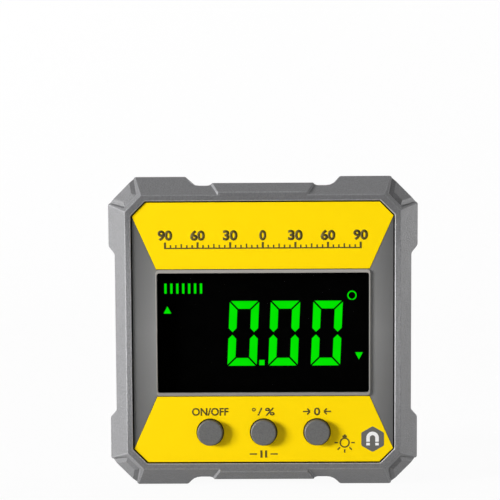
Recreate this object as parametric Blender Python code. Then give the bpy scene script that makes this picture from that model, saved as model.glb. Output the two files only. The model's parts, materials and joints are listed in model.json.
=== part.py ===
"""Digital angle gauge: a square magnetic box with a lit display, three push buttons and two battery cells.

X points right, the display faces -Y and Z points up. The origin lies under the middle of the whole box, on the
plane that the two lower feet stand on. Sizes are in millimetres, and MM turns them into Blender's metres.
A depth is measured backwards from the flat ring at the front of the housing. Heights on the front are
measured from the middle of the square.
"""

from math import cos, hypot, pi, radians, sin, sqrt, tan

import bmesh
import bpy
from mathutils import Matrix, Vector

MM = 0.001
GAP = 0.3

# Housing
HALF = 30.0
DEPTH = 32.0
CORNER = 5.3
BEVEL_DEPTH = 5.0
BEVEL_WIDTH = 3.8
RIDGE_CORNER = 3.1
RING_WIDTH = 0.9
FOOT_LENGTH = 9.81
SHOULDER_RISE = 1.55
WAIST_DEPTH = 1.4
WAIST_SETBACK = 0.26
WAIST_RISE = 1.5
NOTCH_DEPTH = 1.85
NOTCH_LENGTH = 5.2
PAD_DEPTH = 1.37
PAD_RAISE = 0.55
PAD_TAPER = 0.49
PAD_LEAD = 0.8
WAIST_ROUND = 0.9
SHOULDER_ROUND = 0.6
CORNER_ROUND = 0.8
NOTCH_ROUND = 2.6
PAD_FOOT_ROUND = 1.2
PAD_ROUND = 0.25
GROOVE_DEPTH = 0.5
GROOVE_START = 1.1
GROOVE_WIDTH = 1.9
GROOVE_BOTTOM_SHARE = 0.53
GROOVE_EDGE_MARGIN = 0.22
GROOVE_EDGE_BOTTOM = 0.53
GROOVE_EDGE_WIDTH = 1.35
GROOVE_RIDGE_MARGIN = 0.32
GROOVE_RIDGE_BOTTOM = 0.31
GROOVE_RIDGE_WIDTH = 0.77
GROOVE_LIFT = 0.5
GROOVE_RUNOUT = 1.4
RIDGE_HALF = HALF - BEVEL_WIDTH
SHOULDER_START = HALF - CORNER - FOOT_LENGTH
SIDE_WAIST = HALF - WAIST_DEPTH
NOTCH_HALF = HALF - NOTCH_DEPTH
PAD_HALF = HALF - PAD_DEPTH
PAD_HALF_WIDTH = SHOULDER_START - NOTCH_LENGTH

# Openings through the housing
PLATE_GAP = 0.45
PLATE_CORNER = 2.6
SHELF_WIDTH = 3.0
SHELF_CORNER = 5.0
SHELF_THICKNESS = 2.8
LEDGE_WIDTH = 0.7
CAVITY_CORNER = 11.0
OFFSET_CORNER = 2 - sqrt(2)
POCKET_HALF = RIDGE_HALF - RING_WIDTH
POCKET_CORNER = PLATE_CORNER + PLATE_GAP * OFFSET_CORNER
PLATE_HALF = POCKET_HALF - PLATE_GAP
FACE_FIT = 0.25
FACE_HALF = PLATE_HALF + FACE_FIT
FACE_CORNER = PLATE_CORNER + FACE_FIT * OFFSET_CORNER
SHELF_HALF = POCKET_HALF - SHELF_WIDTH
CAVITY_HALF = POCKET_HALF - LEDGE_WIDTH
COVER_FIT = 0.4
COVER_HALF = POCKET_HALF - COVER_FIT
COVER_CORNER = POCKET_CORNER - COVER_FIT * OFFSET_CORNER

# Front panel
PLATE_RECESS = 0.4
PLATE_THICKNESS = 1.8
WINDOW_SIDE_MARGIN = 4.6
WINDOW_RADIUS = 0.45
BEAD_WIDTH = 0.6
BEAD_SIDE_WIDTH = 0.2
BEAD_PROUD = 0.35
LENS_LIP = 0.8
LENS_OVERLAP = 0.45
LENS_THICKNESS = 0.6
LENS_FIT = 0.2
WINDOW_HALF_WIDTH = PLATE_HALF - WINDOW_SIDE_MARGIN
WINDOW_HALF_HEIGHT = 0.5654 * WINDOW_HALF_WIDTH
BEAD_HALF_WIDTH = WINDOW_HALF_WIDTH + BEAD_SIDE_WIDTH
BEAD_HALF_HEIGHT = WINDOW_HALF_HEIGHT + BEAD_WIDTH
INLAY_STEP = 0.45
INLAY_THICKNESS = 0.3
INLAY_PROUD = 0.05
INLAY_FIT = 0.1
INLAY_MARGIN = 0.05
INLAY_OVERHANG = 0.15
STEP_RUNOUT = 5.0
STEP_INNER = BEAD_HALF_HEIGHT + INLAY_MARGIN
INLAY_INNER = STEP_INNER + INLAY_FIT
INLAY_INNER_HALF_WIDTH = WINDOW_HALF_WIDTH + INLAY_OVERHANG
INLAY_TIP = PLATE_HALF - PLATE_CORNER - INLAY_FIT

# Display module, whose lit shapes are drawn as shares of the window's half-width
SEAL_THICKNESS = 0.6
SEAL_WIDTH = 1.4
MASK_THICKNESS = 0.4
MODULE_SIDE_MARGIN = 0.25
MODULE_END_MARGIN = 0.55
MODULE_ROUND = 0.3
HOLDER_WALL = 0.6
MODULE_HALF_WIDTH = WINDOW_HALF_WIDTH + MODULE_SIDE_MARGIN
MODULE_HALF_HEIGHT = WINDOW_HALF_HEIGHT + MODULE_END_MARGIN
DIGIT_WIDTH = 0.2795 * WINDOW_HALF_WIDTH
DIGIT_HEIGHT = 0.6173 * WINDOW_HALF_WIDTH
DIGIT_SHARES = (-0.1901, 0.2, 0.6049)
DIGIT_Z = -0.0114 * WINDOW_HALF_WIDTH
SEGMENT = 0.0741 * WINDOW_HALF_WIDTH
SEGMENT_MITRE = 0.0109 * WINDOW_HALF_WIDTH
SEGMENT_BREAK = 0.0133 * WINDOW_HALF_WIDTH
POINT_SIZE = 0.0509 * WINDOW_HALF_WIDTH
POINT_X = -0.0138 * WINDOW_HALF_WIDTH
POINT_Z = -0.2904 * WINDOW_HALF_WIDTH
DEGREE_X = 0.8444 * WINDOW_HALF_WIDTH
DEGREE_Z = 0.3472 * WINDOW_HALF_WIDTH
DEGREE_RADIUS = 0.0444 * WINDOW_HALF_WIDTH
DEGREE_INNER = 0.0333 * WINDOW_HALF_WIDTH
DEGREE_BRIDGE = 0.0059 * WINDOW_HALF_WIDTH
ARROW_X = 0.9106 * WINDOW_HALF_WIDTH
ARROW_HALF_WIDTH = 0.037 * WINDOW_HALF_WIDTH
ARROW_HEIGHT = 0.0691 * WINDOW_HALF_WIDTH
ARROW_UP_Z = 0.2153 * WINDOW_HALF_WIDTH
ARROW_DOWN_Z = -0.2301 * WINDOW_HALF_WIDTH
BAR_LEFT_X = -0.9269 * WINDOW_HALF_WIDTH
BAR_PITCH = 0.0563 * WINDOW_HALF_WIDTH
BAR_WIDTH = 0.0222 * WINDOW_HALF_WIDTH
BAR_Z = 0.4183 * WINDOW_HALF_WIDTH
BAR_HEIGHT = 0.0963 * WINDOW_HALF_WIDTH
DIGIT_SLANT = 0.044
BAR_COUNT = 7

# Board
BOARD_THICKNESS = 1.2
BOARD_SCREW_MARGIN = 1.1
BOARD_SCREW_SETBACK = 4.0
BOARD_SCREW_SHANK = 0.45
BOARD_SCREW_HEAD = 1.1
BOARD_SCREW_HEAD_HEIGHT = 0.7
BOARD_SCREW_LENGTH = 2.9
CHIP_SIZE = 7.0
CHIP_THICKNESS = 1.0
CHIP_PLACE = (2.0, 3.0)
SENSOR_SIZE = 4.5
SENSOR_PLACE = (-9.0, 3.0)
BOARD_HALF = CAVITY_HALF - GAP
BOARD_CORNER = CAVITY_CORNER + GAP
BOARD_SCREW_X = BOARD_HALF - BOARD_SCREW_MARGIN
BOARD_SCREW_Z = BOARD_HALF - BOARD_CORNER - BOARD_SCREW_SETBACK

# Buttons
BUTTON_PITCH = 10.25
BUTTON_MARGIN = 5.75
BUTTON_RADIUS = 2.45
BUTTON_FIT = 0.2
BUTTON_PROUD = 0.9
BUTTON_ROUND = 0.3
BUTTON_TRAVEL = 0.5
FLANGE_RADIUS = 2.95
FLANGE_THICKNESS = 0.8
SWITCH_SIZE = 4.4
SWITCH_DEPTH = 1.5
SWITCH_ROUND = 0.3
PLUNGER_RADIUS = 1.2
PLUNGER_FIT = 0.3
PLUNGER_REACH = 0.5
BUTTON_Z = BUTTON_MARGIN - PLATE_HALF
BUTTON_HOLE = BUTTON_RADIUS + BUTTON_FIT

# Screws, with the shape of the point, head and recess as shares of their size
SCREW_FIT = 0.2
SCREW_POINT = 0.5
SCREW_POINT_LENGTH = 0.6
SCREW_CROWN = 0.35
SCREW_HEAD_TOP = 0.8
RECESS_SLOT = 0.16
RECESS_ARM = 0.55
RECESS_DEPTH = 0.5
TAP_DEPTH = 3.0

# Cells and their contacts
CELL_MARGIN = 1.95
CELL_SPACING = 0.7
CELL_NUB_RADIUS = 1.9
CELL_NUB_LENGTH = 1.2
CELL_RIM = 0.35
CONTACT_THICKNESS = 0.3
CONTACT_HALF_WIDTH = 3.6
TAIL_HALF_WIDTH = 1.5
TAIL_END = 0.6
SPRING_LENGTH = 1.5
SPRING_WIRE = 0.2
SPRING_LARGE = 3.6
SPRING_SMALL = 2.0
SPRING_TURNS = 2.0
LEAD_RADIUS = 0.45
LEAD_BEND = 4.0
CELL_RADIUS = (COVER_HALF / 2 - CELL_MARGIN) / 2
CELL_PITCH = 2 * CELL_RADIUS + CELL_SPACING

# Rear cover, battery tray and door
COVER_RECESS = 0.4
COVER_THICKNESS = 3.2
REAR_SEAL_THICKNESS = 0.4
REAR_SEAL_WIDTH = 0.45
REAR_SCREW_MARGIN = 3.5
REAR_SCREW_SHANK = 0.9
REAR_SCREW_HEAD = 1.8
REAR_SCREW_HEAD_HEIGHT = 1.3
REAR_SCREW_LENGTH = 8.6
TRAY_WALL = 0.7
TRAY_FLOOR = 0.8
TRAY_ROUND = 0.6
DOOR_RADIUS = 1.2
DOOR_THICKNESS = 1.6
DOOR_SEAL_THICKNESS = 0.4
DOOR_SEAL_WIDTH = 0.9
DOOR_SCREW_SHANK = 0.75
DOOR_SCREW_HEAD = 1.5
DOOR_SCREW_HEAD_HEIGHT = 0.6
DOOR_SCREW_SUNK = 0.05
DOOR_SCREW_LENGTH = 4.4
DOOR_SCREW_MARGIN = 2.45
DOOR_END_MARGIN = 1.6
DOOR_BOSS_RADIUS = 2.2
DOOR_BOSS_HEIGHT = 3.4
REAR_SCREW_PLACE = POCKET_HALF - REAR_SCREW_MARGIN
TRAY_HALF_LENGTH = CAVITY_HALF - TRAY_WALL - GAP
TRAY_HALF_HEIGHT = CELL_PITCH / 2 + CELL_RADIUS + GAP
DOOR_HALF_WIDTH = TRAY_HALF_LENGTH - GAP
DOOR_SCREW_Z = TRAY_HALF_HEIGHT + DOOR_SCREW_MARGIN
DOOR_HALF_HEIGHT = DOOR_SCREW_Z + DOOR_END_MARGIN
MOUTH_HALF_WIDTH = DOOR_HALF_WIDTH - DOOR_SEAL_WIDTH - SCREW_FIT
CONTACT_OUTER = TRAY_HALF_LENGTH - GAP
CONTACT_INNER = CONTACT_OUTER - CONTACT_THICKNESS
CELL_LENGTH = 2 * (CONTACT_INNER - GAP) - CELL_NUB_LENGTH - SPRING_LENGTH

# Base magnets
MAGNET_RADIUS = 3.0
MAGNET_THICKNESS = 1.8
MAGNET_CHAMFER = 0.2
MAGNET_MARGIN = 9.6
MAGNET_X = SHOULDER_START + FOOT_LENGTH / 2
MAGNET_Y = DEPTH / 2 - MAGNET_MARGIN

# Depths of the layers, from the front ring backwards
FRONT_Y = BUTTON_PROUD - (DEPTH + BUTTON_PROUD) / 2
PLATE_BACK = PLATE_RECESS + PLATE_THICKNESS
INLAY_FLOOR = PLATE_RECESS + INLAY_STEP
INLAY_FRONT = PLATE_RECESS - INLAY_PROUD
LENS_FRONT = PLATE_RECESS + LENS_LIP + LENS_FIT
MASK_FRONT = PLATE_BACK + LENS_FIT
PANEL_FRONT = MASK_FRONT + MASK_THICKNESS + GAP
SEAL_FRONT = PLATE_BACK + LENS_FIT
SHELF_FRONT = SEAL_FRONT + SEAL_THICKNESS + LENS_FIT
SHELF_BACK = SHELF_FRONT + SHELF_THICKNESS
BOARD_FRONT = SHELF_BACK + GAP
BOARD_BACK = BOARD_FRONT + BOARD_THICKNESS
COVER_BACK = DEPTH - COVER_RECESS
COVER_FRONT = COVER_BACK - COVER_THICKNESS
REAR_SEAL_BACK = COVER_FRONT - LENS_FIT
LEDGE = REAR_SEAL_BACK - REAR_SEAL_THICKNESS - LENS_FIT
DOOR_FRONT = COVER_BACK - DOOR_THICKNESS
DOOR_SEAL_BACK = DOOR_FRONT - LENS_FIT
DOOR_REBATE = DOOR_SEAL_BACK - DOOR_SEAL_THICKNESS - LENS_FIT
CELL_DEPTH = DOOR_FRONT - GAP - CELL_RADIUS
TRAY_INNER = CELL_DEPTH - CELL_RADIUS - GAP
TRAY_OUTER = TRAY_INNER - TRAY_FLOOR
BEVEL_SLOPE = BEVEL_WIDTH / BEVEL_DEPTH
CORNER_SLOPE = (CORNER - RIDGE_CORNER) / BEVEL_DEPTH

# How far a cutting tool runs past a face, and how deep two joined shapes run into each other
PAST = 1.0
INTO = 0.3
ROUND = 48
WELD_DISTANCE = 0.001


def material(name, colour, roughness, metallic=0.0, alpha=1.0):
    """A plain Principled material."""
    made = bpy.data.materials.new(name)
    made.use_nodes = True
    shader = made.node_tree.nodes["Principled BSDF"]
    shader.inputs["Base Color"].default_value = (*colour, 1.0)
    shader.inputs["Roughness"].default_value = roughness
    shader.inputs["Metallic"].default_value = metallic
    shader.inputs["Alpha"].default_value = alpha
    return made


def octagon(half, corner):
    """A square of half-width half with its corners cut off."""
    inner = half - corner
    return [(half, -inner), (half, inner), (inner, half), (-inner, half),
            (-half, inner), (-half, -inner), (-inner, -half), (inner, -half)]


def circle(radius, count=ROUND, x=0.0, z=0.0):
    return [(x + radius * cos(2 * pi * i / count), z + radius * sin(2 * pi * i / count)) for i in range(count)]


def rounded(points, radii, steps=3):
    """Each corner of an outline becomes an arc of its own radius."""
    result = []
    count = len(points)
    for i, point in enumerate(points):
        here = Vector(point)
        before = (Vector(points[i - 1]) - here).normalized()
        after = (Vector(points[(i + 1) % count]) - here).normalized()
        radius = radii[i] if isinstance(radii, (list, tuple)) else radii
        half_angle = before.angle(after) / 2
        if radius <= 0 or half_angle > radians(89.5):
            result.append(tuple(here))
            continue
        reach = radius / tan(half_angle)
        centre = here + (before + after).normalized() * (radius / sin(half_angle))
        start = (here + before * reach - centre).normalized()
        end = (here + after * reach - centre).normalized()
        for step in range(steps + 1):
            spoke = start.slerp(end, step / steps) * radius
            result.append(tuple(centre + spoke))
    return result


def rectangle(half_x, half_z, radius=0.0, x=0.0, z=0.0):
    corners = [(half_x, -half_z), (half_x, half_z), (-half_x, half_z), (-half_x, -half_z)]
    return rounded([(x + dx, z + dz) for dx, dz in corners], radius)


def loft(name, sections, colour=None, centre=(0.0, 0.0), smooth=False):
    """A solid skinned through outlines that have the same number of points, each at its own depth."""
    mesh = bmesh.new()
    rings = []
    for outline, depth in sections:
        rings.append([mesh.verts.new(Vector((x, FRONT_Y + depth, z)) * MM) for x, z in outline])
    count = len(rings[0])
    for ring, following in zip(rings, rings[1:]):
        for i in range(count):
            mesh.faces.new((ring[i], ring[(i + 1) % count], following[(i + 1) % count], following[i]))
    mesh.faces.new(rings[0])
    mesh.faces.new(rings[-1])
    return finish(name, mesh, colour, (centre[0], 0.0, HALF + centre[1]), smooth)


def finish(name, mesh, colour, place, smooth=False):
    """The bmesh becomes an object at its place, with its faces pointing out."""
    bmesh.ops.recalc_face_normals(mesh, faces=mesh.faces)
    data = bpy.data.meshes.new(name)
    mesh.to_mesh(data)
    mesh.free()
    made = bpy.data.objects.new(name, data)
    made.location = Vector(place) * MM
    bpy.context.collection.objects.link(made)
    if colour:
        data.materials.append(colour)
    if smooth:
        shade_round(made)
    return made


def shade_round(made):
    made.data.shade_smooth()
    made.data.set_sharp_from_angle(angle=radians(35))


def prism(name, outline, front, back, colour=None, centre=(0.0, 0.0), smooth=False):
    return loft(name, [(outline, front), (outline, back)], colour, centre, smooth)


def turned(name, profile, colour=None, place=(0.0, 0.0, 0.0), axis="Y", count=ROUND, smooth=True):
    """A round solid from (radius, position) pairs along its axis, placed from the middle of the front ring."""
    mesh = bmesh.new()
    rings = []
    for radius, at in profile:
        rings.append([mesh.verts.new(Vector((x, at, z)) * MM) for x, z in circle(radius, count)])
    for ring, following in zip(rings, rings[1:]):
        for i in range(count):
            mesh.faces.new((ring[i], ring[(i + 1) % count], following[(i + 1) % count], following[i]))
    mesh.faces.new(rings[0])
    mesh.faces.new(rings[-1])
    if axis == "X":
        mesh.transform(Matrix.Rotation(radians(-90), 4, "Z"))
    if axis == "Z":
        mesh.transform(Matrix.Rotation(radians(90), 4, "X"))
    x, depth, z = place
    return finish(name, mesh, colour, (x, FRONT_Y + depth, HALF + z), smooth)


def combine(target, tools, operation):
    """Cuts, joins or intersects the target with each tool in turn, and removes the tools."""
    for tool in tools:
        modifier = target.modifiers.new("Shape", "BOOLEAN")
        modifier.operation = operation
        modifier.object = tool
        bpy.context.view_layer.objects.active = target
        bpy.ops.object.modifier_apply(modifier=modifier.name)
        bpy.data.objects.remove(tool)
        weld(target)
    return target


def weld(made):
    """Merges the points that a cut leaves closer together than the welding distance."""
    mesh = bmesh.new()
    mesh.from_mesh(made.data)
    bmesh.ops.remove_doubles(mesh, verts=mesh.verts, dist=WELD_DISTANCE * MM)
    mesh.to_mesh(made.data)
    mesh.free()


def cut(target, *tools):
    return combine(target, tools, "DIFFERENCE")


def join(target, *tools):
    return combine(target, tools, "UNION")


def screw(name, x, z, tip, seat, shank, head, head_height, colour, facing=1):
    """A pan-head screw along Y with a cross recess; facing is 1 where its head looks backwards."""
    top = seat + facing * head_height
    profile = [(shank * SCREW_POINT, tip), (shank, tip + facing * shank * SCREW_POINT_LENGTH), (shank, seat),
               (head, seat), (head, top - facing * head_height * SCREW_CROWN), (head * SCREW_HEAD_TOP, top)]
    made = turned(name, profile, colour, (x, 0.0, z), count=16, smooth=False)
    slot = head * RECESS_SLOT
    arm = head * RECESS_ARM
    for half_x, half_z in ((arm, slot), (slot, arm)):
        recess = rectangle(half_x, half_z)
        cut(made, prism("recess", recess, top - facing * head_height * RECESS_DEPTH, top + facing * PAST,
                        centre=(x, z)))
    shade_round(made)
    return made


def housing_outline():
    """The frame from the front: raised shoulders, waists at the sides, notches and a pad above and below."""
    shoulder_end = HALF - CORNER
    notch_end = SHOULDER_START - SHOULDER_RISE
    pad_foot = PAD_HALF_WIDTH + PAD_HALF - NOTCH_HALF
    side_foot = SHOULDER_START + WAIST_SETBACK
    side_top = side_foot + WAIST_RISE
    points = [(SIDE_WAIST, side_foot), (HALF, side_top), (HALF, shoulder_end), (shoulder_end, HALF),
              (SHOULDER_START, HALF), (notch_end, NOTCH_HALF), (pad_foot, NOTCH_HALF),
              (PAD_HALF_WIDTH, PAD_HALF)]
    point_radii = [WAIST_ROUND, WAIST_ROUND, CORNER_ROUND, CORNER_ROUND, SHOULDER_ROUND, NOTCH_ROUND,
                   PAD_FOOT_ROUND, PAD_ROUND]
    left = [(-x, z) for x, z in reversed(points)]
    left_radii = list(reversed(point_radii))
    upper = points + left
    upper_radii = point_radii + left_radii
    lower = [(-x, -z) for x, z in upper]
    return rounded(upper + lower, upper_radii + upper_radii)


def bevel_body():
    """The bevelled block that trims the frame front and back, with the raised pads and the corner grooves."""
    reach = BEVEL_DEPTH + 2 * PAST
    outer = octagon(RIDGE_HALF + reach * BEVEL_SLOPE, RIDGE_CORNER + reach * CORNER_SLOPE)
    inner = octagon(RIDGE_HALF - PAST * BEVEL_SLOPE, RIDGE_CORNER - PAST * CORNER_SLOPE)
    sections = [(inner, -PAST), (outer, reach), (outer, DEPTH - reach), (inner, DEPTH + PAST)]
    block = loft("bevel_body", sections)
    for side in (1, -1):
        for face in (0, 1):
            join(block, pad_block(side, face))
    for sign_x in (1, -1):
        for sign_z in (1, -1):
            for face in (0, 1):
                cut(block, groove(sign_x, sign_z, face))
    return block


def pad_block(side, face):
    """The centre pad's raised strip on the upper or lower bevel, at the front (face 0) or back (face 1)."""
    sections = []
    root = RIDGE_HALF / 2
    ridge_width = PAD_HALF_WIDTH - PAD_TAPER * (PAD_HALF - RIDGE_HALF - PAD_RAISE) / BEVEL_SLOPE
    for depth in (-PAD_LEAD, BEVEL_DEPTH + PAST):
        top = RIDGE_HALF + PAD_RAISE + depth * BEVEL_SLOPE
        width = ridge_width + depth * PAD_TAPER
        outline = [(width, side * root), (width, side * top), (-width, side * top), (-width, side * root)]
        sections.append((outline, depth if face == 0 else DEPTH - depth))
    return loft("pad", sections)


def groove(sign_x, sign_z, face):
    """The V groove round a corner's raised pad: across the bevel, along the pad's inner side and out again."""
    ridge_middle = RIDGE_HALF - RIDGE_CORNER / 2
    edge_middle = HALF - CORNER / 2
    origin = Vector((sign_x * ridge_middle, 0.0, sign_z * ridge_middle))
    outward = Vector((sign_x, 0.0, sign_z)) * (edge_middle - ridge_middle)
    slope_length = hypot(outward.length, BEVEL_DEPTH)
    along = Vector((outward.x, BEVEL_DEPTH, outward.z)).normalized()
    across = Vector((sign_x, 0.0, -sign_z)).normalized()
    normal = across.cross(along).normalized()
    if normal.dot(outward) < 0:
        normal.negate()
    # Each line: its half-width at the frame's edge and at its inner side, and where it starts on the slope
    edge_half = CORNER / 2 * sqrt(2) - GROOVE_EDGE_MARGIN
    ridge_half = RIDGE_CORNER / 2 * sqrt(2) - GROOVE_RIDGE_MARGIN
    outer_line = (edge_half, ridge_half, GROOVE_START)
    bottom_line = (edge_half - GROOVE_EDGE_BOTTOM, ridge_half - GROOVE_RIDGE_BOTTOM,
                   GROOVE_START + GROOVE_WIDTH * GROOVE_BOTTOM_SHARE)
    pad_line = (edge_half - GROOVE_EDGE_WIDTH, ridge_half - GROOVE_RIDGE_WIDTH, GROOVE_START + GROOVE_WIDTH)
    end = slope_length + GROOVE_RUNOUT

    def station(line, side, far):
        wide, narrow, start = line
        if not far:
            return across * (side * narrow) + along * start
        share = (end - start) / (slope_length - start)
        return across * (side * (narrow + (wide - narrow) * share)) + along * end

    mesh = bmesh.new()
    rings = []
    for side, far in ((-1, True), (-1, False), (1, False), (1, True)):
        low = station(bottom_line, side, far)
        pad_edge = station(pad_line, side, far)
        outer_edge = station(outer_line, side, far)
        points = (low - normal * GROOVE_DEPTH,
                  pad_edge + (pad_edge - low) * GROOVE_LIFT + normal * GROOVE_DEPTH * GROOVE_LIFT,
                  outer_edge + (outer_edge - low) * GROOVE_LIFT + normal * GROOVE_DEPTH * GROOVE_LIFT)
        ring = []
        for point in points:
            at = origin + point
            depth = at.y if face == 0 else DEPTH - at.y
            ring.append(mesh.verts.new(Vector((at.x, FRONT_Y + depth, at.z)) * MM))
        rings.append(ring)
    for ring, following in zip(rings, rings[1:]):
        for i in range(3):
            mesh.faces.new((ring[i], ring[(i + 1) % 3], following[(i + 1) % 3], following[i]))
    mesh.faces.new(rings[0])
    mesh.faces.new(rings[-1])
    return finish("groove", mesh, None, (0.0, 0.0, HALF))


def corner_places(x, z):
    return [(sign_x * x, sign_z * z) for sign_x, sign_z in ((-1, 1), (1, 1), (-1, -1), (1, -1))]


def make_housing(colour):
    """One casting: bevelled frame, inner shelf for panel and board, and pockets for the magnets."""
    body = prism("housing", housing_outline(), 0.0, DEPTH, colour)
    combine(body, [bevel_body()], "INTERSECT")
    face = octagon(FACE_HALF, FACE_CORNER)
    pocket = octagon(POCKET_HALF, POCKET_CORNER)
    shelf = octagon(SHELF_HALF, SHELF_CORNER)
    cavity = octagon(CAVITY_HALF, CAVITY_CORNER)
    hollow = [(face, -PAST), (face, SHELF_FRONT), (shelf, SHELF_FRONT), (shelf, SHELF_BACK),
              (cavity, SHELF_BACK), (cavity, LEDGE), (pocket, LEDGE), (pocket, DEPTH + PAST)]
    cut(body, loft("hollow", hollow))
    for x, z in corner_places(REAR_SCREW_PLACE, REAR_SCREW_PLACE):
        bottom = COVER_BACK - REAR_SCREW_LENGTH - TAP_DEPTH
        cut(body, prism("screw_hole", circle(REAR_SCREW_SHANK + SCREW_FIT, 24), bottom, DEPTH, centre=(x, z)))
    for x, z in corner_places(BOARD_SCREW_X, BOARD_SCREW_Z):
        hole = circle(BOARD_SCREW_SHANK + SCREW_FIT, 16)
        bottom = BOARD_BACK + GAP - BOARD_SCREW_LENGTH - GAP
        cut(body, prism("board_hole", hole, bottom, BOARD_FRONT, centre=(x, z)))
    for x, y in magnet_places():
        profile = [(MAGNET_RADIUS + SCREW_FIT, -PAST), (MAGNET_RADIUS + SCREW_FIT, MAGNET_THICKNESS + 2 * GAP)]
        cut(body, turned("magnet_hole", profile, None, (x, y - FRONT_Y, -HALF), "Z", 32))
    shade_round(body)


def magnet_places():
    """Two discs in each foot; y is measured from the middle of the housing's depth."""
    middle = FRONT_Y + DEPTH / 2
    return [(sign_x * MAGNET_X, middle + sign_y * MAGNET_Y) for sign_x in (-1, 1) for sign_y in (-1, 1)]


def inlay_outline(side, fit):
    """A coloured panel: full width at its outer corners, and narrowing to the window's bead."""
    inner = PLATE_HALF - PLATE_CORNER
    slope = (PLATE_HALF - INLAY_INNER_HALF_WIDTH) / (INLAY_TIP - INLAY_INNER)
    narrow = INLAY_INNER_HALF_WIDTH - fit * (hypot(1.0, slope) - slope)
    outline = [(narrow, INLAY_INNER - INLAY_FIT + fit), (PLATE_HALF, INLAY_TIP + fit), (inner, PLATE_HALF),
               (-inner, PLATE_HALF), (-PLATE_HALF, INLAY_TIP + fit), (-narrow, INLAY_INNER - INLAY_FIT + fit)]
    return [(x, side * z) for x, z in outline]


def make_face_plate(colour):
    """Moulded front panel: steps for the two inlays, the bead round the window, and the lens seat."""
    plate = prism("face_plate", octagon(PLATE_HALF, PLATE_CORNER), PLATE_RECESS, PLATE_BACK, colour)
    for side in (1, -1):
        narrow = INLAY_INNER_HALF_WIDTH
        wide = PLATE_HALF + (PLATE_HALF - narrow) / (INLAY_TIP - INLAY_INNER) * STEP_RUNOUT
        far = side * (INLAY_TIP + STEP_RUNOUT)
        step = [(narrow, side * STEP_INNER), (wide, far), (-wide, far), (-narrow, side * STEP_INNER)]
        cut(plate, prism("step", step, -PAST, INLAY_FLOOR))
    bead = rectangle(BEAD_HALF_WIDTH, BEAD_HALF_HEIGHT, WINDOW_RADIUS + BEAD_SIDE_WIDTH)
    join(plate, prism("bead", bead, PLATE_RECESS - BEAD_PROUD, PLATE_RECESS + INTO))
    window = rectangle(WINDOW_HALF_WIDTH, WINDOW_HALF_HEIGHT, WINDOW_RADIUS)
    cut(plate, prism("window", window, -PAST, PLATE_BACK + PAST))
    seat = rectangle(WINDOW_HALF_WIDTH + LENS_OVERLAP, WINDOW_HALF_HEIGHT + LENS_OVERLAP, WINDOW_RADIUS)
    cut(plate, prism("seat", seat, PLATE_RECESS + LENS_LIP, PLATE_BACK + PAST))
    for x in button_places():
        cut(plate, prism("hole", circle(BUTTON_HOLE), -PAST, PLATE_BACK + PAST, centre=(x, BUTTON_Z)))
    shade_round(plate)


def button_places():
    return (-BUTTON_PITCH, 0.0, BUTTON_PITCH)


def make_inlays(colour):
    """Two flat coloured panels set on the steps of the front panel."""
    back = INLAY_FRONT + INLAY_THICKNESS
    prism("upper_inlay", inlay_outline(1, INLAY_FIT), INLAY_FRONT, back, colour)
    lower = prism("lower_inlay", inlay_outline(-1, INLAY_FIT), INLAY_FRONT, back, colour)
    for x in button_places():
        cut(lower, prism("hole", circle(BUTTON_HOLE), -PAST, PLATE_BACK, centre=(x, BUTTON_Z)))
    shade_round(lower)


def slanted(points, centre_x):
    return [(centre_x + x + z * DIGIT_SLANT, DIGIT_Z + z) for x, z in points]


def zero_segments(centre_x):
    """The six lit bars of a seven-segment nought, mitred at the corners and pointed in the middle."""
    half_width = DIGIT_WIDTH / 2
    half_height = DIGIT_HEIGHT / 2
    bar = [(-half_width + SEGMENT_MITRE, half_height), (half_width - SEGMENT_MITRE, half_height),
           (half_width - SEGMENT_MITRE - SEGMENT, half_height - SEGMENT),
           (-half_width + SEGMENT_MITRE + SEGMENT, half_height - SEGMENT)]
    post = [(-half_width, half_height - SEGMENT_MITRE),
            (-half_width + SEGMENT, half_height - SEGMENT_MITRE - SEGMENT),
            (-half_width + SEGMENT, SEGMENT_BREAK + SEGMENT / 2), (-half_width + SEGMENT / 2, SEGMENT_BREAK),
            (-half_width, SEGMENT_BREAK + SEGMENT / 2)]
    shapes = [[(x, side * z) for x, z in bar] for side in (1, -1)]
    shapes += [[(side_x * x, side_z * z) for x, z in post] for side_x in (1, -1) for side_z in (1, -1)]
    return [slanted(shape, centre_x) for shape in shapes]


def arrow(x, z, side):
    """A small triangle that points up or down."""
    rise = side * ARROW_HEIGHT / 2
    return [(x - ARROW_HALF_WIDTH, z - rise), (x + ARROW_HALF_WIDTH, z - rise), (x, z + rise)]


def degree_ring():
    """The degree mark, a ring with one narrow bridge that holds its middle."""
    count = 32
    half_gap = DEGREE_BRIDGE / 2
    start = -pi / 2 + half_gap / DEGREE_RADIUS
    sweep = 2 * pi - 2 * half_gap / DEGREE_RADIUS
    outer = [start + sweep * i / count for i in range(count + 1)]
    points = [(DEGREE_X + DEGREE_RADIUS * cos(a), DEGREE_Z + DEGREE_RADIUS * sin(a)) for a in outer]
    inner_start = -pi / 2 + half_gap / DEGREE_INNER
    inner_sweep = 2 * pi - 2 * half_gap / DEGREE_INNER
    inner = [inner_start + inner_sweep * i / count for i in range(count, -1, -1)]
    return points + [(DEGREE_X + DEGREE_INNER * cos(a), DEGREE_Z + DEGREE_INNER * sin(a)) for a in inner]


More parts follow.
